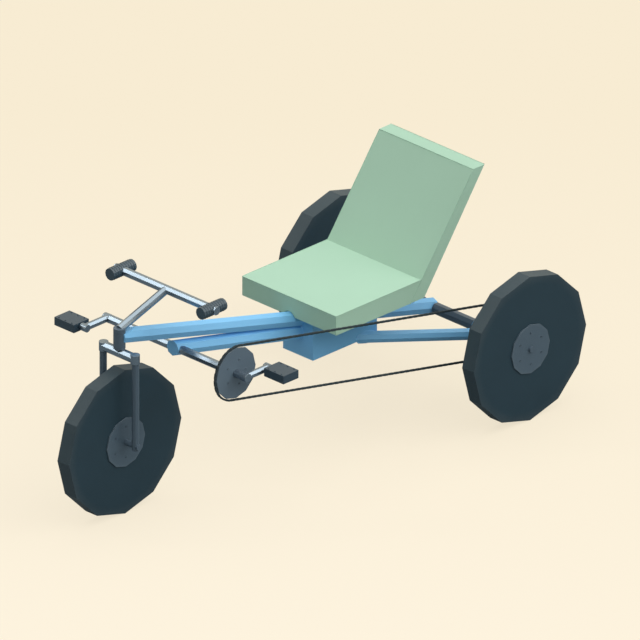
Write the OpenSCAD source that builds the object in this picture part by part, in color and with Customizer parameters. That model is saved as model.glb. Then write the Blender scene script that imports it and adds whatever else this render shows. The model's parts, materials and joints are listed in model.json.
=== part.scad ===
// Recumbent trike: one steered front wheel, two rear wheels on a live axle,
// a padded seat with a leaning backrest, pedals ahead of the seat and a long
// chain on the left. X is forward, Y is to the rider's left, Z is up, and the
// origin is on the ground midway between the axles.

/* [Wheels] */
// Diameter of the tyres across their corners
wheel_d = 514; // [400:2:640]
// Width of a tyre
tyre_w = 53.5; // [35:0.5:80]
// Flat sides round a tyre and round its hub disc
wheel_sides = 12; // [8:4:12]
// Diameter of the hub discs across their corners
hub_d = 174; // [120:2:260]
// How far a hub disc stands out of its tyre on each side
hub_proud = 4; // [1:0.5:12]

/* [Stance] */
// Distance between the front and rear axles
wheelbase = 1420; // [1180:10:1720]
// Distance between the centre planes of the rear wheels
rear_track = 863; // [720:1:1060]

/* [Frame] */
// Corner radius of the main tube and the crank tube
tube_r = 27; // [20:0.5:34]
// Corner radius of the rear stays
stay_r = 20.5; // [14:0.5:26]
// Flat sides of the frame tubes and the bars
tube_sides = 8; // [6:2:8]
// Radius of the head tube and its two collars
head_r = 20; // [17:0.5:26]
// How far the main tube runs behind the rear axle's centre
tube_tail = 16; // [13:1:30]
// How far the crank tube starts below the main tube, middle to middle
tube_drop = 47; // [40:1:54]
// How far the crank tube runs ahead of the crank spindle's centre
crank_tail = 18; // [15:1:30]
// Distance from the back of the seat box to where a stay meets its side
stay_seat = 50; // [50:1:110]
// Distance from the centre plane to where a stay meets the axle
stay_y = 232; // [180:2:240]

/* [Seat box] */
// Distance from the rear axle to the back of the seat box
box_back = 310; // [260:5:360]
// Length of the seat box
box_len = 293; // [240:1:360]
// Width of the seat box
box_w = 137; // [100:1:180]
// Thickness of the seat box's plates
box_wall = 4; // [2:0.5:8]
// Height of the underside of the seat box above the axles
box_low = 28; // [20:1:40]

/* [Seat] */
// Width of the seat and the backrest
seat_w = 430; // [340:5:520]
// Height of the underside of the seat above the axles
seat_low = 181; // [170:1:200]
// Thickness of the seat cushion
seat_t = 69; // [50:1:90]
// Distance from the rear axle to the front of the seat cushion
seat_front = 644; // [600:2:700]
// Distance from the rear axle to the back of the seat's top
seat_rear = 253; // [230:1:280]
// Height of the top of the backrest above the axles
back_high = 568; // [480:2:640]
// Depth of the backrest's flat top
back_depth = 55; // [40:1:70]
// Depth of the backrest at its foot
foot_depth = 68; // [55:1:75]
// Lean of the backrest from upright
back_lean = 36.4; // [30:0.2:45]
// Space left between a cushion and what it lies on
soft_gap = 0.3; // [0.2:0.1:1]

/* [Drive] */
// Distance from the front axle back to the crank spindle
crank_back = 261; // [230:1:300]
// Height of the crank spindle above the axles
crank_up = 241; // [220:1:280]
// Length of a crank arm from centre to centre
crank_len = 104; // [90:1:130]
// Distance from the centre plane to the chain
chain_y = 270; // [264:1:290]
// Corner radius of the chainring and the axle sprocket
ring_r = 89.4; // [70:0.2:100]
// Thickness of the chain across its run
chain_t = 7.4; // [5:0.2:10]
// Width of the chain
chain_w = 7; // [5:0.5:10]
// Length of a pedal
pedal_l = 89; // [70:1:110]
// Tread of a pedal from front to back
pedal_w = 69; // [50:1:80]
// Thickness of a pedal
pedal_t = 29; // [18:1:34]

/* [Steering] */
// Distance from the centre plane to a fork leg
leg_y = 74; // [62:1:90]
// Corner radius of a fork leg
leg_r = 12; // [10.5:0.5:15]
// Space between the tyre and the middle of the fork crown
crown_gap = 55; // [45:1:80]
// Length of the handlebar
bar_l = 464; // [380:2:560]
// Distance from the steering axis back to the handlebar
bar_back = 215; // [160:5:260]
// Height of the handlebar above the fork crown
bar_up = 153; // [130:1:200]
// Length of a grip
grip_l = 103; // [80:1:130]
// Corner radius of a grip
grip_r = 21; // [18:0.5:26]

/* [Hidden] */

// Facets that stand for a true round
round_n = 72;
// Clearance round a turning pin
run_gap = 0.05;
// Side clearance beside a turning piece
side_gap = 1;
// Extra length that a cut or a trimmed tube starts with
spare_l = 60;

rear_x = -wheelbase / 2;
front_x = wheelbase / 2;
axle_z = wheel_d / 2;
hub_half = tyre_w / 2 + hub_proud;
rear_y = rear_track / 2;

// Rear axle
axle_r = 20;
journal_r = 9.5;
wheel_pin_r = 8;
cap_r = 10;
cap_t = 5;
// How far an axle's end reaches into its cap or nut
pin_end = 3;
// How far a spacer, a nut or a pedal pin is set into the piece it meets
seat_in = 6;
// Height of a stay's middle above the underside of the seat box
stay_rise = 4;
// How far a stay's middle passes below the rear axle's centre
stay_drop = 23;
// How far a stay runs behind the rear axle's centre
stay_tail = 12;
// Space round the rear axle where it passes a stay
axle_clear = 2;
bearing_r = 22;
bearing_l = 34;
bearing_y = stay_y - 4;

// Fork and head
crown_r = 17;
crown_z = wheel_d + crown_gap;
crown_flat = crown_r * cos(180 / tube_sides);
// How far the crown's round ends stand in from the middles of the legs
crown_in = 2;
// How far a fork leg runs below the front axle's centre
leg_foot = 14;
// How far the steerer reaches up into its top collar
steerer_in = 10;
head_low = crown_z + 22;
head_high = crown_z + 71;
collar_gap = 0.7;
collar_top = crown_z + 88;
steerer_r = 12.7;
tube_front_z = crown_z + 59.5;
stem_r = 14.4;
// How far below the top collar's top the stem's middle meets the steering axis
stem_drop = 5;
bar_r = 15;
bar_x = front_x - bar_back;
bar_z = crown_z + bar_up;
// How far the bar's ends stand out past the grips
bar_show = 3.5;
spacer_r = 10;

// Main tube: its middle line rises evenly from the rear axle to the head
tube_rise = (tube_front_z - axle_z) / wheelbase;
function tube_z(x) = axle_z + tube_rise * (x - rear_x);

// Seat box
box_x0 = rear_x + box_back;
box_x1 = box_x0 + box_len;
box_z0 = axle_z + box_low;
pan_t = 6;
pan_z = axle_z + seat_low - pan_t;
pan_half = 150;

// Seat and backrest, as seen from the side
seat_z = axle_z + seat_low + soft_gap;
seat_top = axle_z + seat_low + seat_t;
back_top = axle_z + back_high;
lean = tan(back_lean);
// where the backrest's front face is at a height
function back_front(z) = rear_x + seat_rear + (seat_top - z) * lean;
back_foot = back_front(seat_z) - foot_depth;
// where the backrest's rear face is at a height
function back_rear(z) = back_foot + (z - seat_z) *
    (back_front(back_top) - back_depth - back_foot) / (back_top - seat_z);
board_t = 7;
board_half = 180;
// How far the back board stops below the top of the backrest
board_low = 30;
post_r = 16;
post_x = rear_x + 90;

// Drive
crank_x = front_x - crank_back;
crank_z = axle_z + crank_up;
spindle_r = 15;
// Radius of the spindle's round middle, where it turns in the crank tube
spindle_pin_r = 12.7;
spindle_end = 302;
arm_y = 315;
arm_r = 12.5;
boss_r = 15;
// Radius of the round eye at an arm's pedal end
eye_r = 13;
pedal_pin_r = 6;
// Space between a crank arm and its pedal
pedal_gap = 3;
pedal_y = 2 * arm_y - spindle_end + pedal_gap;
// How far a pedal's pin, and the bore for it, stop short of the pedal's outer end
pin_short = 8;
bore_short = 5;
chain_in = ring_r + 0.6;
chain_out = chain_in + chain_t;
chain_len = norm([crank_x - rear_x, crank_z - axle_z]);
chain_tilt = atan2(crank_z - axle_z, crank_x - rear_x);
ring_t = 6;

blue = [0.36, 0.66, 0.86];
steel = [0.62, 0.66, 0.70];
dark = [0.24, 0.29, 0.33];
black = [0.13, 0.18, 0.20];
green = [0.62, 0.77, 0.68];

// A bar lying across the trike, with flats on top and in front
module cross_bar(r, y0, y1, sides)
  translate([0, y0, 0]) rotate([-90, 0, 0]) rotate(180 / sides)
    cylinder(r = r, h = y1 - y0, $fn = sides);

// A round pin lying across the trike
module cross_pin(r, y0, y1)
  translate([0, y0, 0]) rotate([-90, 0, 0]) cylinder(r = r, h = y1 - y0, $fn = round_n);

// A disc with flat sides and a corner at the top and bottom
module cross_disc(r, y0, y1)
  translate([0, y0, 0]) rotate([-90, 0, 0]) cylinder(r = r, h = y1 - y0, $fn = wheel_sides);

// A tube from one point to another with a corner on top
module long_tube(a, b, r) {
  d = b - a;
  translate(a) rotate([0, 90 - atan2(d[2], norm([d[0], d[1]])), atan2(d[1], d[0])])
    cylinder(r = r, h = norm(d), $fn = tube_sides);
}

// A flat shape in the side view, given width across the trike
module side_slab(points, half)
  translate([0, half, 0]) rotate([90, 0, 0]) linear_extrude(2 * half) polygon(points);

// The right-hand copy of a left-hand piece
module handed(side) mirror([0, side < 0 ? 1 : 0, 0]) children();

module main_tube_body(extra = 0)
  long_tube([rear_x - spare_l, 0, tube_z(rear_x - spare_l)],
            [front_x + spare_l, 0, tube_z(front_x + spare_l)], tube_r + extra);

module head_body() translate([front_x, 0, head_low])
  cylinder(r = head_r, h = head_high - head_low, $fn = round_n);

module main_tube() color(blue) difference() {
  intersection() {
    main_tube_body();
    translate([rear_x - tube_tail, -spare_l, 0])
      cube([wheelbase + tube_tail, 2 * spare_l, head_high - collar_gap]);
  }
  translate([front_x, 0, 0]) cylinder(r = head_r, h = 2 * head_high, $fn = round_n);
  translate([rear_x, 0, axle_z]) cross_pin(journal_r + run_gap, -spare_l, spare_l);
}

module crank_tube() color(blue) difference() {
  box_end = [box_x1, 0, tube_z(box_x1) - tube_drop];
  crank_end = [crank_x, 0, crank_z];
  spare = 0.1 * (crank_end - box_end);
  intersection() {
    long_tube(box_end - spare, crank_end + spare, tube_r);
    translate([box_x1, -spare_l, 0])
      cube([crank_x + crank_tail - box_x1, 2 * spare_l, 2 * head_high]);
  }
  main_tube_body();
  translate([crank_x, 0, crank_z]) cross_pin(spindle_pin_r + run_gap, -spare_l, spare_l);
}

module seat_box() color(blue) difference() {
  translate([box_x0, -box_w / 2, box_z0]) cube([box_len, box_w, pan_z - box_z0]);
  translate([box_x0 + box_wall, -box_w / 2 + box_wall, box_z0 + box_wall])
    cube([box_len - 2 * box_wall, box_w - 2 * box_wall, pan_z]);
  main_tube_body();
}

module seat_pan() color(dark) difference() {
  translate([back_rear(pan_z) - board_t, -pan_half, pan_z])
    cube([box_x1 - box_wall - back_rear(pan_z) + board_t, 2 * pan_half, pan_t]);
  main_tube_body();
}

// A stay's middle line runs from the side of the seat box to below the rear axle,
// and its two ends are cut off at the box's side and just behind the axle
module stay(side) color(blue) handed(side) difference() {
  box_end = [box_x0 + stay_seat, box_w / 2, box_z0 + stay_rise];
  axle_end = [rear_x, stay_y, axle_z - stay_drop];
  spare = 0.3 * (axle_end - box_end);
  intersection() {
    long_tube(box_end - spare, axle_end + spare, stay_r);
    translate([rear_x - stay_tail, box_w / 2, 0]) cube([wheelbase, stay_y, 2 * axle_z]);
  }
  translate([rear_x, 0, axle_z]) cross_pin(bearing_r, bearing_y - bearing_l / 2, bearing_y + bearing_l / 2);
  translate([rear_x, 0, axle_z]) cross_pin(axle_r + axle_clear, 0, rear_y);
}

module axle_bearing(side) color(blue) handed(side) translate([rear_x, 0, axle_z]) difference() {
  cross_pin(bearing_r, bearing_y - bearing_l / 2, bearing_y + bearing_l / 2);
  cross_pin(journal_r + run_gap, 0, rear_y);
}

module head_tube() color(dark) difference() {
  head_body();
  translate([front_x, 0, 0]) cylinder(r = steerer_r + run_gap, h = 2 * head_high, $fn = round_n);
}

module back_board() color(dark)
  side_slab([[back_rear(pan_z + pan_t) - soft_gap, pan_z + pan_t],
             [back_rear(back_top - board_low) - soft_gap, back_top - board_low],
             [back_rear(back_top - board_low) - soft_gap - board_t, back_top - board_low],
             [back_rear(pan_z + pan_t) - soft_gap - board_t, pan_z + pan_t]], board_half);

// The part of an upright post that lies behind the back board, down to the main tube
module back_post() color(blue) difference() {
  intersection() {
    translate([post_x, 0, tube_z(post_x)]) cylinder(r = post_r, h = back_high, $fn = tube_sides);
    side_slab([[rear_x - back_high, axle_z], [back_rear(axle_z) - soft_gap - board_t, axle_z],
               [back_rear(back_top) - soft_gap - board_t, back_top],
               [rear_x - back_high, back_top]], 2 * post_r);
  }
  main_tube_body();
}

module seat_cushion() color(green) difference() {
  side_slab([[back_front(seat_z) + soft_gap, seat_z], [rear_x + seat_front, seat_z],
             [rear_x + seat_front, seat_top], [back_front(seat_top) + soft_gap, seat_top]],
            seat_w / 2);
  main_tube_body(soft_gap);
}

module back_cushion() color(green)
  side_slab([[back_foot, seat_z], [back_front(seat_z), seat_z], [back_front(back_top), back_top],
             [back_rear(back_top), back_top]], seat_w / 2);

module chain_loop(r, w)
  translate([rear_x, chain_y, axle_z]) rotate([90, 0, 0]) rotate(chain_tilt) {
    cylinder(r = r, h = w, center = true, $fn = round_n);
    translate([chain_len, 0, 0]) cylinder(r = r, h = w, center = true, $fn = round_n);
    translate([0, -r, -w / 2]) cube([chain_len, 2 * r, w]);
  }

module chain() color(black) difference() {
  chain_loop(chain_out, chain_w);
  chain_loop(chain_in, 2 * chain_w);
}

module steerer() color(steel) translate([front_x, 0, crown_z])
  cylinder(r = steerer_r, h = head_high + collar_gap + steerer_in - crown_z, $fn = round_n);

module lower_collar() color(dark) translate([front_x, 0, crown_z + crown_flat]) difference() {
  cylinder(r = head_r, h = head_low - collar_gap - crown_z - crown_flat, $fn = round_n);
  translate([0, 0, -1]) cylinder(r = steerer_r, h = spare_l, $fn = round_n);
}

module upper_collar() color(dark) difference() {
  translate([front_x, 0, head_high + collar_gap])
    cylinder(r = head_r, h = collar_top - head_high - collar_gap, $fn = round_n);
  steerer();
}

module fork_leg_body(side) handed(side) translate([front_x, leg_y, axle_z - leg_foot])
  cylinder(r = leg_r, h = crown_z - axle_z + leg_foot, $fn = tube_sides);

module fork_crown() color(steel) difference() {
  translate([front_x, 0, crown_z]) union() {
    cross_bar(crown_r, crown_in - leg_y, leg_y - crown_in, tube_sides);
    for (side = [-1, 1]) translate([0, side * (leg_y - crown_in), -crown_flat])
      cylinder(r = crown_flat, h = 2 * crown_flat, $fn = round_n);
  }
  for (side = [-1, 1]) fork_leg_body(side);
  steerer();
}

module fork_leg(side) color(dark) difference() {
  fork_leg_body(side);
  translate([front_x, 0, axle_z]) cross_pin(wheel_pin_r, -2 * leg_y, 2 * leg_y);
}

module front_axle() color(steel) translate([front_x, 0, axle_z])
  cross_pin(wheel_pin_r, -leg_y - leg_r - pin_end, leg_y + leg_r + pin_end);

module axle_spacer(side) color(dark) handed(side) translate([front_x, 0, axle_z]) difference() {
  cross_pin(spacer_r, hub_half + side_gap, leg_y - seat_in);
  cross_pin(wheel_pin_r, 0, leg_y);
  translate([0, leg_y, -spare_l]) cylinder(r = leg_r, h = 2 * spare_l, $fn = tube_sides);
}

module axle_nut(side) color(dark) handed(side) translate([front_x, 0, axle_z]) difference() {
  cross_pin(cap_r, leg_y + seat_in, leg_y + leg_r + cap_t);
  cross_pin(wheel_pin_r, 0, leg_y + leg_r + pin_end);
  translate([0, leg_y, -spare_l]) cylinder(r = leg_r, h = 2 * spare_l, $fn = tube_sides);
}

module stem() color(steel) difference() {
  long_tube([bar_x, 0, bar_z], [front_x, 0, collar_top - stem_drop], stem_r);
  translate([bar_x, 0, bar_z]) cross_bar(bar_r, -spare_l, spare_l, tube_sides);
  translate([front_x, 0, 0]) cylinder(r = head_r, h = collar_top, $fn = round_n);
}

module handlebar() color(steel) translate([bar_x, 0, bar_z])
  cross_bar(bar_r, -bar_l / 2, bar_l / 2, tube_sides);

module grip(side) color(black) handed(side) difference() {
  translate([bar_x - grip_l / 2, bar_l / 2 - grip_r - bar_show, bar_z]) rotate([0, 90, 0])
    cylinder(r = grip_r, h = grip_l, $fn = 12);
  translate([bar_x, 0, bar_z]) cross_bar(bar_r, 0, bar_l, tube_sides);
}

// A wheel is drawn about its own middle and put in place by its own module
module tyre_ring() color(black) difference() {
  cross_disc(wheel_d / 2, -tyre_w / 2, tyre_w / 2);
  cross_disc(hub_d / 2, -tyre_w, tyre_w);
}

module hub_disc(bore) color(dark) difference() {
  cross_disc(hub_d / 2, -hub_half, hub_half);
  cross_pin(bore, -2 * hub_half, 2 * hub_half);
}

module front_tyre() translate([front_x, 0, axle_z]) tyre_ring();
module front_hub() translate([front_x, 0, axle_z]) hub_disc(wheel_pin_r + run_gap);
module left_tyre() translate([rear_x, rear_y, axle_z]) tyre_ring();
module left_hub() translate([rear_x, rear_y, axle_z]) hub_disc(wheel_pin_r);
module right_tyre() translate([rear_x, -rear_y, axle_z]) tyre_ring();
module right_hub() translate([rear_x, -rear_y, axle_z]) hub_disc(wheel_pin_r + run_gap);

module rear_axle() color(dark) translate([rear_x, 0, axle_z]) {
  inner = bearing_y - bearing_l / 2 - side_gap;
  outer = bearing_y + bearing_l / 2 + side_gap;
  cross_bar(axle_r, tube_r + side_gap, inner, tube_sides);
  cross_bar(axle_r, -inner, -tube_r - side_gap, tube_sides);
  cross_bar(axle_r, outer, rear_y - hub_half, tube_sides);
  cross_bar(axle_r, side_gap + hub_half - rear_y, -outer, tube_sides);
  cross_pin(journal_r, -outer, outer);
  cross_pin(wheel_pin_r, -rear_y - hub_half - pin_end, rear_y + hub_half + pin_end);
}

module axle_sprocket() color(dark) translate([rear_x, 0, axle_z]) difference() {
  cross_disc(ring_r, chain_y - ring_t / 2, chain_y + ring_t / 2);
  cross_bar(axle_r, 0, rear_y, tube_sides);
}

// The left wheel is held tight against its cap, and the right one turns free of it
module axle_cap(side) color(dark) handed(side) translate([rear_x, 0, axle_z]) difference() {
  cross_pin(cap_r, rear_y + hub_half + (side < 0 ? side_gap : 0), rear_y + hub_half + side_gap + cap_t);
  cross_pin(wheel_pin_r, 0, rear_y + hub_half + pin_end);
}

module crank_spindle() color(steel) translate([crank_x, 0, crank_z]) {
  cross_bar(spindle_r, -spindle_end, -tube_r - side_gap, tube_sides);
  cross_bar(spindle_r, tube_r + side_gap, spindle_end, tube_sides);
  cross_pin(spindle_pin_r, -tube_r - side_gap, tube_r + side_gap);
}

module chainring() color(dark) translate([crank_x, 0, crank_z]) difference() {
  cross_disc(ring_r, chain_y - ring_t / 2, chain_y + ring_t / 2);
  cross_bar(spindle_r, 0, spindle_end, tube_sides);
}

// The left arm points back and the right arm points forward
module crank_arm(side) color(steel) handed(side) difference() {
  translate([crank_x, 0, crank_z]) union() {
    cross_pin(boss_r, spindle_end, 2 * arm_y - spindle_end);
    translate([-side * crank_len, 0, 0]) cross_pin(eye_r, spindle_end, 2 * arm_y - spindle_end);
    translate([0, arm_y, 0]) rotate([0, -side * 90, 0]) rotate(180 / tube_sides)
      cylinder(r = arm_r, h = crank_len, $fn = tube_sides);
  }
  translate([crank_x - side * crank_len, 0, crank_z]) cross_pin(pedal_pin_r, arm_y - seat_in, 2 * arm_y);
}

module pedal_pin(side) color(steel) handed(side)
  translate([crank_x - side * crank_len, 0, crank_z])
    cross_pin(pedal_pin_r, arm_y - seat_in, pedal_y + pedal_l - pin_short);

module pedal(side) color(black) handed(side)
  translate([crank_x - side * crank_len, 0, crank_z]) difference() {
    translate([-pedal_w / 2, pedal_y, -pedal_t / 2]) cube([pedal_w, pedal_l, pedal_t]);
    cross_pin(pedal_pin_r + run_gap, 0, pedal_y + pedal_l - bore_short);
  }

main_tube();
crank_tube();
seat_box();
seat_pan();
stay(1);  // left_stay
stay(-1);  // right_stay
axle_bearing(1);  // left_axle_bearing
axle_bearing(-1);  // right_axle_bearing
head_tube();
back_board();
back_post();
seat_cushion();
back_cushion();
chain();
steerer();
lower_collar();
upper_collar();
fork_crown();
fork_leg(1);  // left_fork_leg
fork_leg(-1);  // right_fork_leg
front_axle();
axle_spacer(1);  // left_axle_spacer
axle_spacer(-1);  // right_axle_spacer
axle_nut(1);  // left_axle_nut
axle_nut(-1);  // right_axle_nut
stem();
handlebar();
grip(1);  // left_grip
grip(-1);  // right_grip
front_tyre();
front_hub();
rear_axle();
axle_sprocket();
left_tyre();
left_hub();
axle_cap(1);  // left_axle_cap
axle_cap(-1);  // right_axle_cap
right_tyre();
right_hub();
crank_spindle();
chainring();
crank_arm(1);  // left_crank_arm
crank_arm(-1);  // right_crank_arm
pedal_pin(1);  // left_pedal_pin
pedal_pin(-1);  // right_pedal_pin
pedal(1);  // left_pedal
pedal(-1);  // right_pedal
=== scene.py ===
# %% [markdown]
# # A recumbent trike
# The frame, wheels and joints come in as a finished metal-shop model, in metres, with X forward, Y to the
# rider's left and Z up. This lesson adds what a model like that lacks: paint, rubber and cloth finishes,
# sewn cushions, a real chain of links, and the small welds and bolts that hold such a machine together.

# %% Load the trike
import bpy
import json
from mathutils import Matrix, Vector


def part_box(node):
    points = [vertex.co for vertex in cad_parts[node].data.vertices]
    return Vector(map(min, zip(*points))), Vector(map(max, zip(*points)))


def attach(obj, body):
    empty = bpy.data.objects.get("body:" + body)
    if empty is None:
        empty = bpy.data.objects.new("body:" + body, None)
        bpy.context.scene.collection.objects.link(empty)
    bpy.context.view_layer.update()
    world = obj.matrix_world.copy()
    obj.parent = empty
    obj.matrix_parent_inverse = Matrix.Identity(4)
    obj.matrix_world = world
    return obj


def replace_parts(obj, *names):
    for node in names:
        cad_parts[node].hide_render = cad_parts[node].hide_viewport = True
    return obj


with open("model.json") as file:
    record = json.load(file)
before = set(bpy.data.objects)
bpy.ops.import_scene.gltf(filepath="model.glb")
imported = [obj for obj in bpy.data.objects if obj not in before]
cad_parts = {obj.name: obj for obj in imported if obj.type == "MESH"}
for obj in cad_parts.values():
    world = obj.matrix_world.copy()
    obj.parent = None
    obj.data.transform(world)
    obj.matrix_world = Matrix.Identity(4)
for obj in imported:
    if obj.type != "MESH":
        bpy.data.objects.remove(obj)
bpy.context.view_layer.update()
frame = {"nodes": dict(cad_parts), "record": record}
import math
import bpy
from mathutils import Matrix, Vector
nodes = frame["nodes"]


def middle_of(node):
    low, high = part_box(node)
    return (low + high) / 2


# %% [markdown]
# ## The camera
# The trike is looked at from its front left corner, from about 25 degrees above the ground. The view is
# a parallel one, so an orthographic camera is used: its scale is the width of ground it takes in.

# %% Camera
VIEW_WIDTH = 2.0702
VIEW_CENTRE = Vector((-0.1884, 0.0193, 0.3876))
TO_CAMERA = Vector((0.638, 0.638, 0.431)).normalized()
CAMERA_FAR = 6.0
camera_data = bpy.data.cameras.new("camera")
camera_data.type = "ORTHO"
camera_data.ortho_scale = VIEW_WIDTH
camera = bpy.data.objects.new("camera", camera_data)
bpy.context.scene.collection.objects.link(camera)
camera.location = VIEW_CENTRE + CAMERA_FAR * TO_CAMERA
camera.rotation_euler = TO_CAMERA.to_track_quat("Z", "Y").to_euler()
bpy.context.scene.camera = camera
bpy.context.scene.view_settings.view_transform = "Standard"
print("camera at", tuple(round(v, 3) for v in camera.location))

# %% [markdown]
# ## Writing shader maths as sums
# A material is a small network of nodes. Wiring each one by hand is slow to read, so one class wraps a
# socket: adding or multiplying two of them adds the Math node that does it. Everything else goes through
# one method that names a node type, its settings and what is plugged into it.

# %% Shader helper
class Wire:
    def __init__(self, tree, socket):
        self.tree = tree
        self.socket = socket

    def node(self, kind, settings=None, out=0, **inputs):
        made = self.tree.nodes.new(kind)
        for name, value in (settings or {}).items():
            setattr(made, name, value)
        for name, value in inputs.items():
            place = made.inputs[int(name[1:])] if name[1:].isdigit() else made.inputs[name.replace("_", " ")]
            if isinstance(value, Wire):
                self.tree.links.new(value.socket, place)
            else:
                place.default_value = value
        return Wire(self.tree, made.outputs[out])

    def math(self, operation, first, second):
        return self.node("ShaderNodeMath", {"operation": operation}, i0=first, i1=second)

    def __add__(self, other):
        return self.math("ADD", self, other)

    def __sub__(self, other):
        return self.math("SUBTRACT", self, other)

    def __rsub__(self, other):
        return self.math("SUBTRACT", other, self)

    def __mul__(self, other):
        return self.math("MULTIPLY", self, other)

    def clamped(self):
        return self.node("ShaderNodeClamp", i0=self)


print("shader helper ready")

# %% [markdown]
# ## Colours
# Paint makers give colours as they look on a screen, from 0 to 255. The shader works with light, so each
# value is first turned into the amount of light it stands for.

# %% Colours
def light_of(value):
    value = value / 255
    return value / 12.92 if value <= 0.04045 else ((value + 0.055) / 1.055) ** 2.4


def colour(red, green, blue):
    return (light_of(red), light_of(green), light_of(blue), 1.0)


def shaded(tint, amount):
    return (tint[0] * amount, tint[1] * amount, tint[2] * amount, 1.0)


print("sky blue as light:", [round(v, 3) for v in colour(126, 186, 234)[:3]])

# %% [markdown]
# ## What every finish shares
# Real metal and plastic corners are never knife sharp. The Bevel node rounds the light on a corner by about
# a millimetre, and the difference between that and the flat face tells where the corners are, which is
# where hands and boots wear a finish first. Object coordinates keep each pattern fixed to its piece.

# %% Shared pattern helpers
EDGE_ROUND = 0.0012
CORNER_GAIN = 4
CLOUD_ROUGHNESS = 0.1


def new_finish(name):
    made = bpy.data.materials.new(name)
    made.use_nodes = True
    shader = made.node_tree.nodes["Principled BSDF"]
    return made, Wire(made.node_tree, None), shader


def plug(wire, shader, socket):
    wire.tree.links.new(wire.socket, shader.inputs[socket])


def noise(wire, place, scale, detail=2.0):
    return wire.node("ShaderNodeTexNoise", Vector=place, Scale=scale, Detail=detail)


def blend_colours(wire, amount, first, second):
    return wire.node("ShaderNodeMix", {"data_type": "RGBA"}, out=2, i0=amount, i6=first, i7=second)


def corners(wire):
    rounded = wire.node("ShaderNodeBevel", {"samples": 4}, Radius=EDGE_ROUND)
    flat = wire.node("ShaderNodeNewGeometry", out="True Normal")
    agree = wire.node("ShaderNodeVectorMath", {"operation": "DOT_PRODUCT"}, out=1, i0=rounded, i1=flat)
    return rounded, ((1 - agree) * CORNER_GAIN).clamped()


def uneven(rough, fine, fine_part, cloud):
    middle = rough - (fine_part + CLOUD_ROUGHNESS) / 2
    return (fine * fine_part + cloud * CLOUD_ROUGHNESS + middle).clamped()


def bumped(wire, height, depth, normal):
    return wire.node("ShaderNodeBump", Height=height, Distance=depth, Strength=1.0, Normal=normal)


print("corner radius in the light:", EDGE_ROUND)

# %% [markdown]
# ## Paint, steel, plastic and rubber
# One recipe serves every hard finish: a slow cloud changes the colour a little over the piece, a fine grain
# roughens it, and the corners are rubbed towards a second tint. Only the numbers differ between a satin
# powder coat, drawn steel and moulded plastic, as they do in a paint shop.

# %% Hard finish recipe
CLOUD_SCALE = 5.0
SCUFF_SCALE = 38.0
CLOUD_DARK = 0.93
CLOUD_LIGHT = 1.07
SPECKLE_DARK = 0.9
SPECKLE_PART = 0.5
GRAIN_ROUGHNESS = 0.12


def hard_finish(name, tint, rough, worn_tint, worn=0.35, grain=500.0, depth=0.00012, metal=0.0):
    made, wire, shader = new_finish(name)
    place = wire.node("ShaderNodeTexCoord", out="Object")
    cloud = noise(wire, place, CLOUD_SCALE, 3.0)
    fine = noise(wire, place, grain)
    scuff = noise(wire, place, SCUFF_SCALE, 4.0)
    rounded, corner = corners(wire)
    body = blend_colours(wire, cloud, shaded(tint, CLOUD_DARK), shaded(tint, CLOUD_LIGHT))
    speckled = blend_colours(wire, (fine * SPECKLE_PART).clamped(), body, shaded(tint, SPECKLE_DARK))
    rubbed = (corner * scuff * (worn * 2)).clamped()
    plug(blend_colours(wire, rubbed, speckled, worn_tint), shader, "Base Color")
    plug(uneven(rough, fine, GRAIN_ROUGHNESS, cloud), shader, "Roughness")
    plug(bumped(wire, fine, depth, rounded), shader, "Normal")
    shader.inputs["Metallic"].default_value = metal
    return made


SKY_BLUE = colour(134, 205, 252)
DARK_GREY = colour(84, 102, 116)
PALE_STEEL = colour(176, 190, 200)
frame_paint = hard_finish("frame_paint", SKY_BLUE, 0.42, colour(178, 214, 238))
dark_metal = hard_finish("dark_metal", DARK_GREY, 0.45, colour(120, 134, 144))
bright_steel = hard_finish("bright_steel", colour(134, 150, 164), 0.25, PALE_STEEL, metal=0.8,
                           grain=900.0, depth=0.000008)
grip_rubber = hard_finish("grip_rubber", colour(60, 80, 92), 0.38, colour(92, 104, 112), worn=0.4)
pedal_plastic = hard_finish("pedal_plastic", colour(52, 72, 86), 0.42, colour(98, 112, 118))
chain_steel = hard_finish("chain_steel", colour(38, 54, 62), 0.5, colour(90, 104, 110), metal=0.2)
ring_steel = hard_finish("ring_steel", colour(103, 121, 135), 0.42, PALE_STEEL)
print("hard finishes: 7")

# %% [markdown]
# ## Wheels
# A tyre is moulded, so its sidewall carries fine rings about the wheel's centre and a little dust towards
# the ground-worn rim. A hub disc is turned on a lathe and shows rings too. Both patterns need the wheel's
# own centre, which is measured from the wheel, so each of the three wheels has its own finish.

# %% Wheel finishes
RING_PITCH = 1400.0
WHEEL_CLOUD_SCALE = 9.0
WHEEL_GRAIN = 650.0
DUST_START = 0.86
DUST_FADE = 8
DUST_ON_RIM = 0.5
DUST_ON_CORNERS = 0.3
MOULD_ROUGHNESS = 0.14
WHEEL_SHEEN = 0.35


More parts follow.
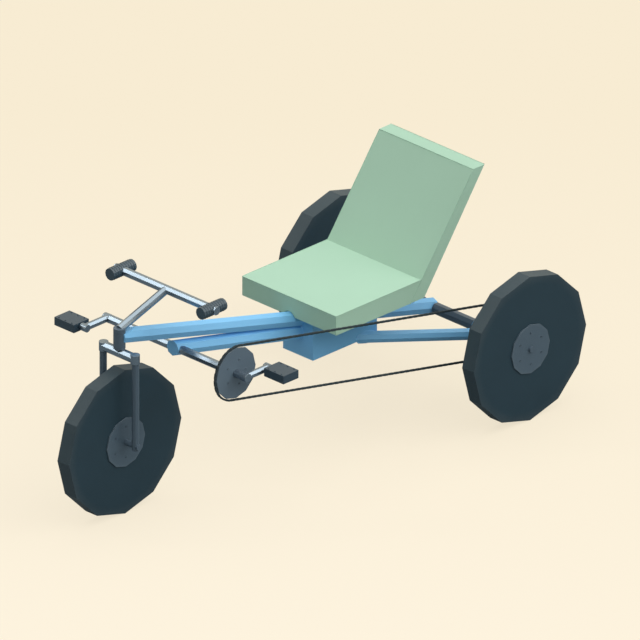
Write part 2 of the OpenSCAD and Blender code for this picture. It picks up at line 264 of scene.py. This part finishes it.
def wheel_finish(name, node, tint, rough, dust, depth):
    low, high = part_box(node)
    centre = (low + high) / 2
    reach = (high.z - low.z) / 2
    made, wire, shader = new_finish(name)
    place = wire.node("ShaderNodeTexCoord", out="Object")
    moved = wire.node("ShaderNodeMapping", Vector=place, Location=tuple(-centre))
    side_view = wire.node("ShaderNodeVectorMath", {"operation": "MULTIPLY"}, i0=moved, i1=(1.0, 0.0, 1.0))
    away = wire.node("ShaderNodeVectorMath", {"operation": "LENGTH"}, out=1, i0=side_view)
    rings = wire.node("ShaderNodeMath", {"operation": "SINE"}, i0=away * RING_PITCH)
    cloud = noise(wire, place, WHEEL_CLOUD_SCALE, 4.0)
    fine = noise(wire, place, WHEEL_GRAIN)
    rounded, corner = corners(wire)
    outer = ((away * (1 / reach) - DUST_START) * DUST_FADE).clamped()
    dusty = (outer * cloud * DUST_ON_RIM + corner * DUST_ON_CORNERS).clamped()
    body = blend_colours(wire, cloud, shaded(tint, 0.9), shaded(tint, 1.1))
    plug(blend_colours(wire, dusty, body, dust), shader, "Base Color")
    plug(uneven(rough, fine, MOULD_ROUGHNESS, cloud), shader, "Roughness")
    plug(bumped(wire, rings * 0.5 + fine, depth, rounded), shader, "Normal")
    shader.inputs["Specular IOR Level"].default_value = WHEEL_SHEEN
    return made


for wheel in ("front", "left", "right"):
    rubber = wheel_finish(wheel + "_tyre_rubber", wheel + "_tyre", colour(38, 62, 74), 0.5,
                          colour(88, 96, 98), 0.0001)
    nodes[wheel + "_tyre"].material_slots[0].material = rubber
    turned = wheel_finish(wheel + "_hub_metal", wheel + "_hub", colour(86, 104, 117), 0.42,
                          colour(110, 122, 130), 0.00005)
    nodes[wheel + "_hub"].material_slots[0].material = turned
print("wheels finished: 3")

# %% [markdown]
# ## Woven seat cloth
# Seat cloth is a plain weave: threads pass over and under each other every couple of millimetres. Two sets
# of waves at right angles, multiplied together, give that over-and-under, and a slow cloud gives the faint
# fading that sun and use leave.

# %% Seat cloth
THREADS = 330.0
WAVE = THREADS * 6.28
WEAVE_SHADE = 0.35
WEAVE_DEPTH = 0.00025
CLOTH_ROUGHNESS = 0.8
CLOTH_SHEEN = 0.3


def woven_cloth(name, tint):
    made, wire, shader = new_finish(name)
    place = wire.node("ShaderNodeTexCoord", out="Object")
    split = wire.node("ShaderNodeSeparateXYZ", i0=place)
    across = Wire(split.tree, split.socket.node.outputs[1])
    upward = Wire(split.tree, split.socket.node.outputs[2])
    warp = wire.node("ShaderNodeMath", {"operation": "SINE"}, i0=across * WAVE)
    weft = wire.node("ShaderNodeMath", {"operation": "SINE"}, i0=(split + upward) * WAVE)
    weave = warp * weft * 0.5 + 0.5
    cloud = noise(wire, place, 4.0, 3.0)
    fluff = noise(wire, place, 900.0)
    body = blend_colours(wire, cloud, shaded(tint, 0.96), shaded(tint, 1.04))
    shade = (weave * WEAVE_SHADE).clamped()
    plug(blend_colours(wire, shade, body, shaded(tint, 0.88)), shader, "Base Color")
    plug((fluff * 0.1 + CLOTH_ROUGHNESS).clamped(), shader, "Roughness")
    plug(wire.node("ShaderNodeBump", Height=weave + fluff * 0.4, Distance=WEAVE_DEPTH, Strength=1.0),
         shader, "Normal")
    shader.inputs["Specular IOR Level"].default_value = CLOTH_SHEEN
    return made


seat_cloth = woven_cloth("seat_cloth", colour(187, 225, 199))
seam_thread = woven_cloth("seam_thread", colour(176, 214, 189))
print("threads per metre:", THREADS)

# %% [markdown]
# ## Putting the finishes on
# Each bare piece names the finish it was made for, so the record of slots decides which recipe it gets.

# %% Finish every bare piece
finishes = {"frame_paint": frame_paint, "dark_metal": dark_metal, "bright_steel": bright_steel,
            "grip_rubber": grip_rubber, "pedal_plastic": pedal_plastic, "chain_steel": chain_steel,
            "seat_fabric": seat_cloth}
for piece in frame["record"]["subparts"]:
    if piece["material_slot"] in finishes:
        nodes[piece["node"]].material_slots[0].material = finishes[piece["material_slot"]]
nodes["chainring"].material_slots[0].material = ring_steel

# %% [markdown]
# ## Floor and light
# A large pale floor takes the trike's soft shadow. One very wide lamp hangs overhead, a small one ahead and
# to the right puts the bright line along the steel bars, a third behind and to the left lights the stem and
# reaches under the seat, and an even sky fills the rest, so that a colour shows about as it was mixed.

# %% Floor
FLOOR_SIZE = 60.0
SHADOW_KEPT = 0.18
FLOOR_BOUNCE = (0.29, 0.32, 0.32, 1.0)
TOWARD_VIEWER = (0.7071, 0.7071, 0.0)
PAINTED_FALLOFF_PER_METRE = 0.2


def floor_finish(name, near, far):
    made, wire, shader = new_finish(name)
    place = wire.node("ShaderNodeTexCoord", out="Object")
    toward = wire.node("ShaderNodeVectorMath", {"operation": "DOT_PRODUCT"}, out=1, i0=place,
                       i1=TOWARD_VIEWER)
    # Painted fall-off of light: the floor's colour is painted lighter towards the viewer and darker away
    # from it.
    floor_colour_with_painted_falloff = blend_colours(wire, (toward * PAINTED_FALLOFF_PER_METRE + 0.5).clamped(), far, near)
    glow = wire.node("ShaderNodeEmission", Color=floor_colour_with_painted_falloff, Strength=1.0)
    shader.inputs["Roughness"].default_value = 1.0
    shader.inputs["Specular IOR Level"].default_value = 0.0
    seen = wire.node("ShaderNodeLightPath", out="Is Camera Ray")
    plug(blend_colours(wire, seen, FLOOR_BOUNCE, floor_colour_with_painted_falloff), shader, "Base Color")
    lit = Wire(wire.tree, shader.outputs[0])
    both = wire.node("ShaderNodeMixShader", i0=seen * (1 - SHADOW_KEPT), i1=lit, i2=glow)
    wire.tree.links.new(both.socket, wire.tree.nodes["Material Output"].inputs["Surface"])
    return made


bpy.ops.object.select_all(action="DESELECT")
bpy.ops.mesh.primitive_plane_add(size=FLOOR_SIZE, location=(0, 0, 0))
floor = bpy.context.object
floor.name = "floor"
# The near and far colours are a painted fall-off of light across the floor, lighter near the viewer.
floor.data.materials.append(floor_finish("floor_painted_falloff", colour(255, 245, 225), colour(248, 236, 211)))
print("floor side:", FLOOR_SIZE)

# %% Lamps and sky
def lamp(name, toward, strength, spread):
    data = bpy.data.lights.new(name, "SUN")
    data.energy = strength
    data.angle = math.radians(spread)
    made = bpy.data.objects.new(name, data)
    made.rotation_euler = Vector(toward).to_track_quat("Z", "Y").to_euler()
    bpy.context.scene.collection.objects.link(made)


SKY_STRENGTH = 0.13
lamp("overhead", (-0.04, 0.22, 0.97), 2.38, 100)
lamp("ahead", (0.43, -0.64, 0.64), 0.18, 12)
lamp("behind", (-0.58, 0.64, 0.45), 0.6, 44)
world = bpy.data.worlds.new("sky")
bpy.context.scene.world = world
world.use_nodes = True
sky = Wire(world.node_tree, None)
rays = sky.node("ShaderNodeLightPath", out="Is Camera Ray")
shiny = Wire(sky.tree, rays.socket.node.outputs["Is Glossy Ray"])
clear = Wire(sky.tree, rays.socket.node.outputs["Is Transmission Ray"])
fill = sky.node("ShaderNodeBackground", Color=(1.0, 1.0, 1.0, 1.0), Strength=SKY_STRENGTH)
backdrop = sky.node("ShaderNodeBackground", Color=colour(246, 234, 210), Strength=1.0)
shown = sky.node("ShaderNodeMixShader", i0=(rays + shiny + clear).clamped(), i1=fill, i2=backdrop)
sky.tree.links.new(shown.socket, sky.tree.nodes["World Output"].inputs["Surface"])
print("sky strength:", SKY_STRENGTH)

# %% [markdown]
# ## Working one piece at a time
# Operators act on whatever is selected, so each new piece is selected alone first. When a piece is done,
# its place is put into its mesh, its doubles are merged and its faces turned outward, and it is told which
# part of the trike it moves with.

# %% Helpers for making a piece
def only(*pieces):
    bpy.ops.object.select_all(action="DESELECT")
    for piece in pieces:
        piece.select_set(True)
    bpy.context.view_layer.objects.active = pieces[0]


def in_edit(piece, work):
    only(piece)
    bpy.ops.object.mode_set(mode="EDIT")
    bpy.ops.mesh.select_all(action="SELECT")
    work()
    bpy.ops.object.mode_set(mode="OBJECT")


def tidy_mesh():
    bpy.ops.mesh.remove_doubles(threshold=0.00001)
    bpy.ops.mesh.normals_make_consistent(inside=False)


def add_modifier(piece, kind, **settings):
    only(piece)
    made = piece.modifiers.new(kind.lower(), kind)
    for name, value in settings.items():
        setattr(made, name, value)
    bpy.ops.object.modifier_apply(modifier=made.name)


def placed_copies(pattern, places):
    copies = []
    for place in places:
        copy = pattern.copy()
        copy.data = pattern.data.copy()
        copy.data.transform(place)
        bpy.context.scene.collection.objects.link(copy)
        copies.append(copy)
    bpy.data.objects.remove(pattern)
    only(*copies)
    if len(copies) > 1:
        bpy.ops.object.join()
    return bpy.context.view_layer.objects.active


def hand_over(piece, name, body, finish):
    only(piece)
    bpy.ops.object.transform_apply(location=True, rotation=True, scale=True)
    piece.name = name
    piece.data.name = name
    piece.data.materials.clear()
    piece.data.materials.append(finish)
    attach(piece, body)
    print(name, "faces:", len(piece.data.polygons))
    return piece


def select_faces(piece, wanted):
    bpy.context.tool_settings.mesh_select_mode = (False, False, True)
    for face in piece.data.polygons:
        face.select = wanted(face)


def bare_copy(node):
    copy = nodes[node].copy()
    copy.data = nodes[node].data.copy()
    copy.parent = None
    copy.hide_viewport = False
    copy.hide_render = False
    for key in list(copy.keys()):
        del copy[key]
    bpy.context.scene.collection.objects.link(copy)
    in_edit(copy, tidy_mesh)
    return copy


# %% [markdown]
# ## Cushions
# A seat cushion is foam in a sewn cover: its faces crown a little and its sides pull in between the
# corners. The firm slab is the starting shape. It is cut into an even net and starts slightly smaller.
# It is blown up like cloth under a little pressure, and no point may swell more than a few millimetres.
# Last it is stretched a touch, so that it just fills the room the slab had.

# %% Blow up a cushion
NET = 0.005
SWELL = 0.006
SHRINK = 0.0025
CLOTH_FRAMES = 20
PRESSURE = 4.0
HELD_IN = 0.0003
HELD_IN_AT_LAST = 0.0002
SAME_WAY = 0.02
SAME_PLANE = 0.001
TUBE_GAP = 0.002
FRONT_LIFT = 0.013
SOFT_ANGLE = math.radians(35)
rear_middle = middle_of("rear_axle")
head_middle = middle_of("head_tube")
tube_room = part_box("main_tube")[1].y + TUBE_GAP


def inside_slab(point, planes, margin):
    for origin, normal in planes:
        out = (point - origin).dot(normal) + margin
        if out > 0:
            point = point - normal * out
    return point


def slab_planes(node):
    shape = bare_copy(node)
    planes = []
    for face in shape.data.polygons:
        known = any((face.normal - n).length < SAME_WAY and abs((face.center - o).dot(n)) < SAME_PLANE
                    for o, n in planes)
        outermost = all((v.co - face.center).dot(face.normal) < SAME_PLANE for v in shape.data.vertices)
        if outermost and not known:
            planes.append((face.center.copy(), face.normal.copy()))
    bpy.data.objects.remove(shape)
    return planes


def tube_height(x):
    slope = (head_middle.z + FRONT_LIFT - rear_middle.z) / (head_middle.x - rear_middle.x)
    return rear_middle.z + slope * (x - rear_middle.x)


def clear_of_tube(point):
    radial = Vector((0, point.y, point.z - tube_height(point.x)))
    if radial.length < tube_room:
        radial = radial.normalized() * tube_room
        return Vector((point.x, radial.y, tube_height(point.x) + radial.z))
    return point


def fill_room(cushion, node):
    low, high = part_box(node)
    places = [v.co for v in cushion.data.vertices]
    for axis in range(3):
        least = min(p[axis] for p in places)
        most = max(p[axis] for p in places)
        grow = (high[axis] - low[axis]) / (most - least)
        for place in places:
            place[axis] = low[axis] + (place[axis] - least) * grow


def blown_up(node, name, channel):
    cushion = bare_copy(node)
    planes = slab_planes(node)
    add_modifier(cushion, "REMESH", mode="VOXEL", voxel_size=NET)
    for vertex in cushion.data.vertices:
        vertex.co = inside_slab(vertex.co.copy(), planes, SHRINK)
    start = [v.co.copy() for v in cushion.data.vertices]
    only(cushion)
    cloth = cushion.modifiers.new("cloth", "CLOTH")
    cloth.settings.use_pressure = True
    cloth.settings.uniform_pressure_force = PRESSURE
    cloth.settings.effector_weights.gravity = 0.0
    cloth.point_cache.frame_start = 1
    cloth.point_cache.frame_end = CLOTH_FRAMES
    for step in range(1, CLOTH_FRAMES + 1):
        bpy.context.scene.frame_set(step)
    bpy.ops.object.modifier_apply(modifier="cloth")
    bpy.context.scene.frame_set(1)
    for vertex, first in zip(cushion.data.vertices, start):
        move = vertex.co - first
        if move.length > SWELL:
            vertex.co = first + move.normalized() * SWELL
        vertex.co = inside_slab(vertex.co.copy(), planes, HELD_IN)
    add_modifier(cushion, "SUBSURF", levels=1, render_levels=1)
    fill_room(cushion, node)
    for vertex in cushion.data.vertices:
        vertex.co = inside_slab(vertex.co.copy(), planes, HELD_IN_AT_LAST)
        if channel:
            vertex.co = clear_of_tube(vertex.co.copy())
    only(cushion)
    bpy.ops.object.shade_smooth_by_angle(angle=SOFT_ANGLE)
    cushion = hand_over(cushion, name, "frame", seat_cloth)
    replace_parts(cushion, node)
    return cushion


seat = blown_up("seat_cushion", "sewn_seat", True)
back = blown_up("back_cushion", "sewn_backrest", False)

# %% [markdown]
# ## Piping
# Where the panels of a cover meet, a thin cord is sewn into the seam. It follows the edge all round the
# face that the rider leans on. Points are set along that face's edges and each is moved onto the cushion,
# then a thin tube is drawn through them, so that the cord lies on the cloth.

# %% Piping round the cushions
CORD = 0.0013
STITCH_STEP = 0.012
ON_FACE = 0.0005
CORD_ANGLE = math.radians(60)


def loop_points(corners_list):
    points = []
    for first, second in zip(corners_list, corners_list[1:] + corners_list[:1]):
        count = max(2, int((second - first).length / STITCH_STEP))
        points += [first.lerp(second, i / count) for i in range(count)]
    return points


def cord_round(points, name, body, radius, finish):
    data = bpy.data.curves.new(name, "CURVE")
    data.dimensions = "3D"
    line = data.splines.new("POLY")
    line.points.add(len(points) - 1)
    for place, point in zip(line.points, points):
        place.co = (point.x, point.y, point.z, 1)
    line.use_cyclic_u = True
    data.bevel_depth = radius
    data.bevel_resolution = 2
    made = bpy.data.objects.new(name, data)
    bpy.context.scene.collection.objects.link(made)
    only(made)
    bpy.ops.object.convert(target="MESH")
    made = bpy.context.view_layer.objects.active
    in_edit(made, tidy_mesh)
    only(made)
    bpy.ops.object.shade_smooth_by_angle(angle=CORD_ANGLE)
    return hand_over(made, name, body, finish)


def face_corners(node, direction):
    shape = bare_copy(node)
    best = max(shape.data.polygons, key=lambda f: f.normal.dot(direction) * 10 + f.center.dot(direction))
    level = best.center.dot(best.normal)
    normal = best.normal.copy()
    found = {tuple(round(c, 5) for c in v.co) for v in shape.data.vertices
             if abs(v.co.dot(normal) - level) < ON_FACE}
    middle = sum((Vector(p) for p in found), Vector()) / len(found)
    side = (Vector(min(found)) - middle).normalized()
    other = normal.cross(side)
    bpy.data.objects.remove(shape)
    return sorted((Vector(p) for p in found),
                  key=lambda p: math.atan2((p - middle).dot(other), (p - middle).dot(side)))


for cushion, node, direction in ((seat, "seat_cushion", Vector((0, 0, 1))),
                                 (back, "back_cushion", Vector((0.8, 0, 0.6)))):
    edge = loop_points(face_corners(node, direction))
    on_cloth = [cushion.closest_point_on_mesh(p)[1] for p in edge]
    cord_round(on_cloth, cushion.name + "_piping", "frame", CORD, seam_thread)

# %% [markdown]
# ## The chain
# A cycle chain repeats every 12.7 mm: a pair of outer plates with two pins, then a pair of inner plates
# with two rollers. One of each is modelled and copied along the run. There are over two hundred, so each
# is kept to a few dozen faces.

# %% One plate, shaped like a figure of eight
PITCH = 0.0127
PLATE_HIGH = 0.0036
PLATE_THICK = 0.001
PLATE_WAIST = 0.86
WAIST_HALF = 0.0005
OUTER_PLATE_Y = 0.0028
INNER_PLATE_Y = 0.0017
PIN_RADIUS = 0.0012
PIN_HALF = 0.0034
ROLLER_RADIUS = 0.0026
ROLLER_HALF = 0.0012


def plate(offset):
    bpy.ops.object.select_all(action="DESELECT")
    bpy.ops.mesh.primitive_cylinder_add(vertices=12, radius=PLATE_HIGH, depth=PLATE_THICK,
                                        location=(0, offset, 0), rotation=(math.pi / 2, 0, 0))
    made = bpy.context.object
    only(made)
    bpy.ops.object.transform_apply(location=True, rotation=True, scale=True)
    for vertex in made.data.vertices:
        side = 1 if vertex.co.x > WAIST_HALF else -1 if vertex.co.x < -WAIST_HALF else 0
        if side == 0:
            vertex.co.z *= PLATE_WAIST
        vertex.co.x += side * PITCH / 2
    return made


def barrel(x, radius, half):
    bpy.ops.object.select_all(action="DESELECT")
    bpy.ops.mesh.primitive_cylinder_add(vertices=8, radius=radius, depth=2 * half,
                                        location=(x, 0, 0), rotation=(math.pi / 2, 0, 0))
    made = bpy.context.object
    only(made)
    bpy.ops.object.transform_apply(location=True, rotation=True, scale=True)
    return made


def joined(parts):
    only(*parts)
    bpy.ops.object.join()
    return bpy.context.view_layer.objects.active


def link(plate_y, radius, half):
    return joined([plate(plate_y), plate(-plate_y), barrel(-PITCH / 2, radius, half),
                   barrel(PITCH / 2, radius, half)])


outer_link = link(OUTER_PLATE_Y, PIN_RADIUS, PIN_HALF)
inner_link = link(INNER_PLATE_Y, ROLLER_RADIUS, ROLLER_HALF)
print("faces in a link:", len(outer_link.data.polygons), len(inner_link.data.polygons))

# %% The run of the chain
CHAIN_MARGIN = 0.0001
cog_middle = middle_of("axle_sprocket")
ring_middle = middle_of("chainring")
chain_plane = middle_of("chain").y
chain_radius = cog_middle.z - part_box("chain")[0].z - PLATE_HIGH - CHAIN_MARGIN
run = Vector((ring_middle.x - cog_middle.x, 0, ring_middle.z - cog_middle.z))
run_long = run.length
ahead = run.normalized()
above = Vector((-ahead.z, 0, ahead.x))
loop_long = 2 * run_long + 2 * math.pi * chain_radius
link_count = 2 * round(loop_long / PITCH / 2)


def chain_place(travel):
    centre = Vector((cog_middle.x, chain_plane, cog_middle.z))
    half_turn = math.pi * chain_radius
    if travel < run_long:
        return centre + above * chain_radius + ahead * travel, ahead
    if travel < run_long + half_turn:
        turn = (travel - run_long) / chain_radius
        out = above * math.cos(turn) + ahead * math.sin(turn)
        return centre + run + out * chain_radius, ahead * math.cos(turn) - above * math.sin(turn)
    if travel < 2 * run_long + half_turn:
        back_travel = travel - run_long - half_turn
        return centre + run - above * chain_radius - ahead * back_travel, -ahead
    turn = (travel - 2 * run_long - half_turn) / chain_radius
    out = -above * math.cos(turn) - ahead * math.sin(turn)
    return centre + out * chain_radius, -ahead * math.cos(turn) + above * math.sin(turn)


def link_matrix(index):
    middle, forward = chain_place(loop_long * (index + 0.5) / link_count)
    across = Vector((0, 1, 0))
    rise = forward.cross(across)
    return Matrix.Translation(middle) @ Matrix((forward, across, rise)).transposed().to_4x4()


outer_run = placed_copies(outer_link, [link_matrix(i) for i in range(0, link_count, 2)])
inner_run = placed_copies(inner_link, [link_matrix(i) for i in range(1, link_count, 2)])
chain_run = joined([outer_run, inner_run])
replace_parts(hand_over(chain_run, "roller_chain", "frame", chain_steel), "chain")
print("links:", link_count, "pitch in mm:", round(1000 * loop_long / link_count, 3))

# %% [markdown]
# ## Welds
# The frame is welded where its tubes meet. A weld is a small rounded bead that follows the rim of the
# tube, so the corners of each tube's end face are read from the trike and a thin cord is laid round them.

# %% Weld beads
BEAD = 0.0022
ON_RIM = 0.0004


def rim(node, axis, level):
    shape = bare_copy(node)
    found = {tuple(round(c, 5) for c in v.co) for v in shape.data.vertices
             if abs(v.co[axis] - level) < ON_RIM}
    bpy.data.objects.remove(shape)
    middle = sum((Vector(p) for p in found), Vector()) / len(found)
    a, b = [i for i in range(3) if i != axis]
    return sorted((Vector(p) for p in found),
                  key=lambda p: math.atan2(p[b] - middle[b], p[a] - middle[a]))


box_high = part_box("seat_box")[1]
for side, name in ((1, "left"), (-1, "right")):
    cord_round(loop_points(rim(name + "_stay", 1, side * box_high.y)), name + "_stay_weld", "frame",
               BEAD, frame_paint)
cord_round(loop_points(rim("crank_tube", 0, box_high.x)), "crank_tube_weld", "frame", BEAD,
           frame_paint)

# %% [markdown]
# ## Bolts
# Hub discs are held by six small bolts, and the chainring by five. One hexagon head with a socket is
# modelled, with its rim bevelled as a turned bolt's is, and copied round each centre.

# %% One bolt head
SOCKET_RIM = 0.4
SOCKET_SLOPE = 0.06
SOCKET_DEPTH = 0.5
HEAD_BEVEL = 0.08


def bolt(radius, height):
    bpy.ops.object.select_all(action="DESELECT")
    bpy.ops.mesh.primitive_cylinder_add(vertices=6, radius=radius, depth=height,
                                        location=(0, 0, height / 2))
    made = bpy.context.object
    select_faces(made, lambda face: face.normal.z > 0.9)
    only(made)
    bpy.ops.object.mode_set(mode="EDIT")
    bpy.ops.mesh.inset(thickness=radius * SOCKET_RIM, depth=0)
    bpy.ops.mesh.inset(thickness=radius * SOCKET_SLOPE, depth=-height * SOCKET_DEPTH)
    bpy.ops.object.mode_set(mode="OBJECT")
    add_modifier(made, "BEVEL", width=radius * HEAD_BEVEL, segments=2, limit_method="ANGLE")
    return made


def bolt_circle(middle, face_y, side, count, circle, radius, height, name, body, finish):
    turn = Matrix.Rotation(-side * math.pi / 2, 4, "X")
    places = []
    for index in range(count):
        angle = 2 * math.pi * (index + 0.5) / count
        spot = Vector((middle.x + circle * math.cos(angle), face_y, middle.z + circle * math.sin(angle)))
        places.append(Matrix.Translation(spot) @ turn)
    made = placed_copies(bolt(radius, height), places)
    hand_over(made, name, body, finish)


HUB_BOLTS = 6
HUB_CIRCLE = 0.055
HUB_BOLT = 0.004
HUB_BOLT_STAND = 0.003
RING_BOLTS = 5
RING_CIRCLE = 0.045
RING_BOLT = 0.0045
RING_BOLT_STAND = 0.0025
for wheel, body in (("front", "front_wheel"), ("left", "drive_axle"), ("right", "right_wheel")):
    low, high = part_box(wheel + "_hub")
    middle = (low + high) / 2
    for side, face_y, word in ((1, high.y, "outer"), (-1, low.y, "inner")):
        bolt_circle(middle, face_y, side, HUB_BOLTS, HUB_CIRCLE, HUB_BOLT, HUB_BOLT_STAND,
                    f"{wheel}_hub_bolts_{word}", body,
                    nodes[wheel + "_hub"].material_slots[0].material)
bolt_circle(ring_middle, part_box("chainring")[1].y, 1, RING_BOLTS, RING_CIRCLE, RING_BOLT,
            RING_BOLT_STAND, "chainring_bolts", "crank", ring_steel)

# %% [markdown]
# ## Grips and pedals
# A grip has raised rings so that a hand doesn't slide, and a pedal has small studs above and below, since
# it may lie either way up. Both are simple shapes repeated along the piece.

# %% Grip rings and pedal studs
RING_STAND = 0.0009
RING_COUNT = 9
STUD = 0.0022
STUD_INSET = 0.006
STUD_ROWS = 3
for name in ("left", "right"):
    low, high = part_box(name + "_grip")
    middle = (low + high) / 2
    radius = (high.z - low.z) / 2
    bpy.ops.object.select_all(action="DESELECT")
    bpy.ops.mesh.primitive_torus_add(major_segments=24, minor_segments=8, major_radius=radius,
                                     minor_radius=RING_STAND, location=(0, 0, 0),
                                     rotation=(0, math.pi / 2, 0))
    ring = bpy.context.object
    only(ring)
    bpy.ops.object.transform_apply(location=True, rotation=True, scale=True)
    gap = (high.x - low.x) / (RING_COUNT + 1)
    rows = [Matrix.Translation((low.x + gap * (i + 1), middle.y, middle.z)) for i in range(RING_COUNT)]
    hand_over(placed_copies(ring, rows), name + "_grip_rings", "fork", grip_rubber)
for name in ("left", "right"):
    low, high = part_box(name + "_pedal")
    spots = []
    for i in range(STUD_ROWS):
        for x in (low.x + STUD_INSET, high.x - STUD_INSET):
            y = low.y + (high.y - low.y) * (i + 0.5) / STUD_ROWS
            spots.append(Matrix.Translation((x, y, high.z)))
            spots.append(Matrix.Translation((x, y, low.z)) @ Matrix.Rotation(math.pi, 4, "X"))
    studs = placed_copies(bolt(STUD, STUD), spots)
    hand_over(studs, name + "_pedal_studs", name + "_pedal", pedal_plastic)

# %% [markdown]
# ## Closing import
# The trike's own box must not grow.

# %% Measure and finish
import json
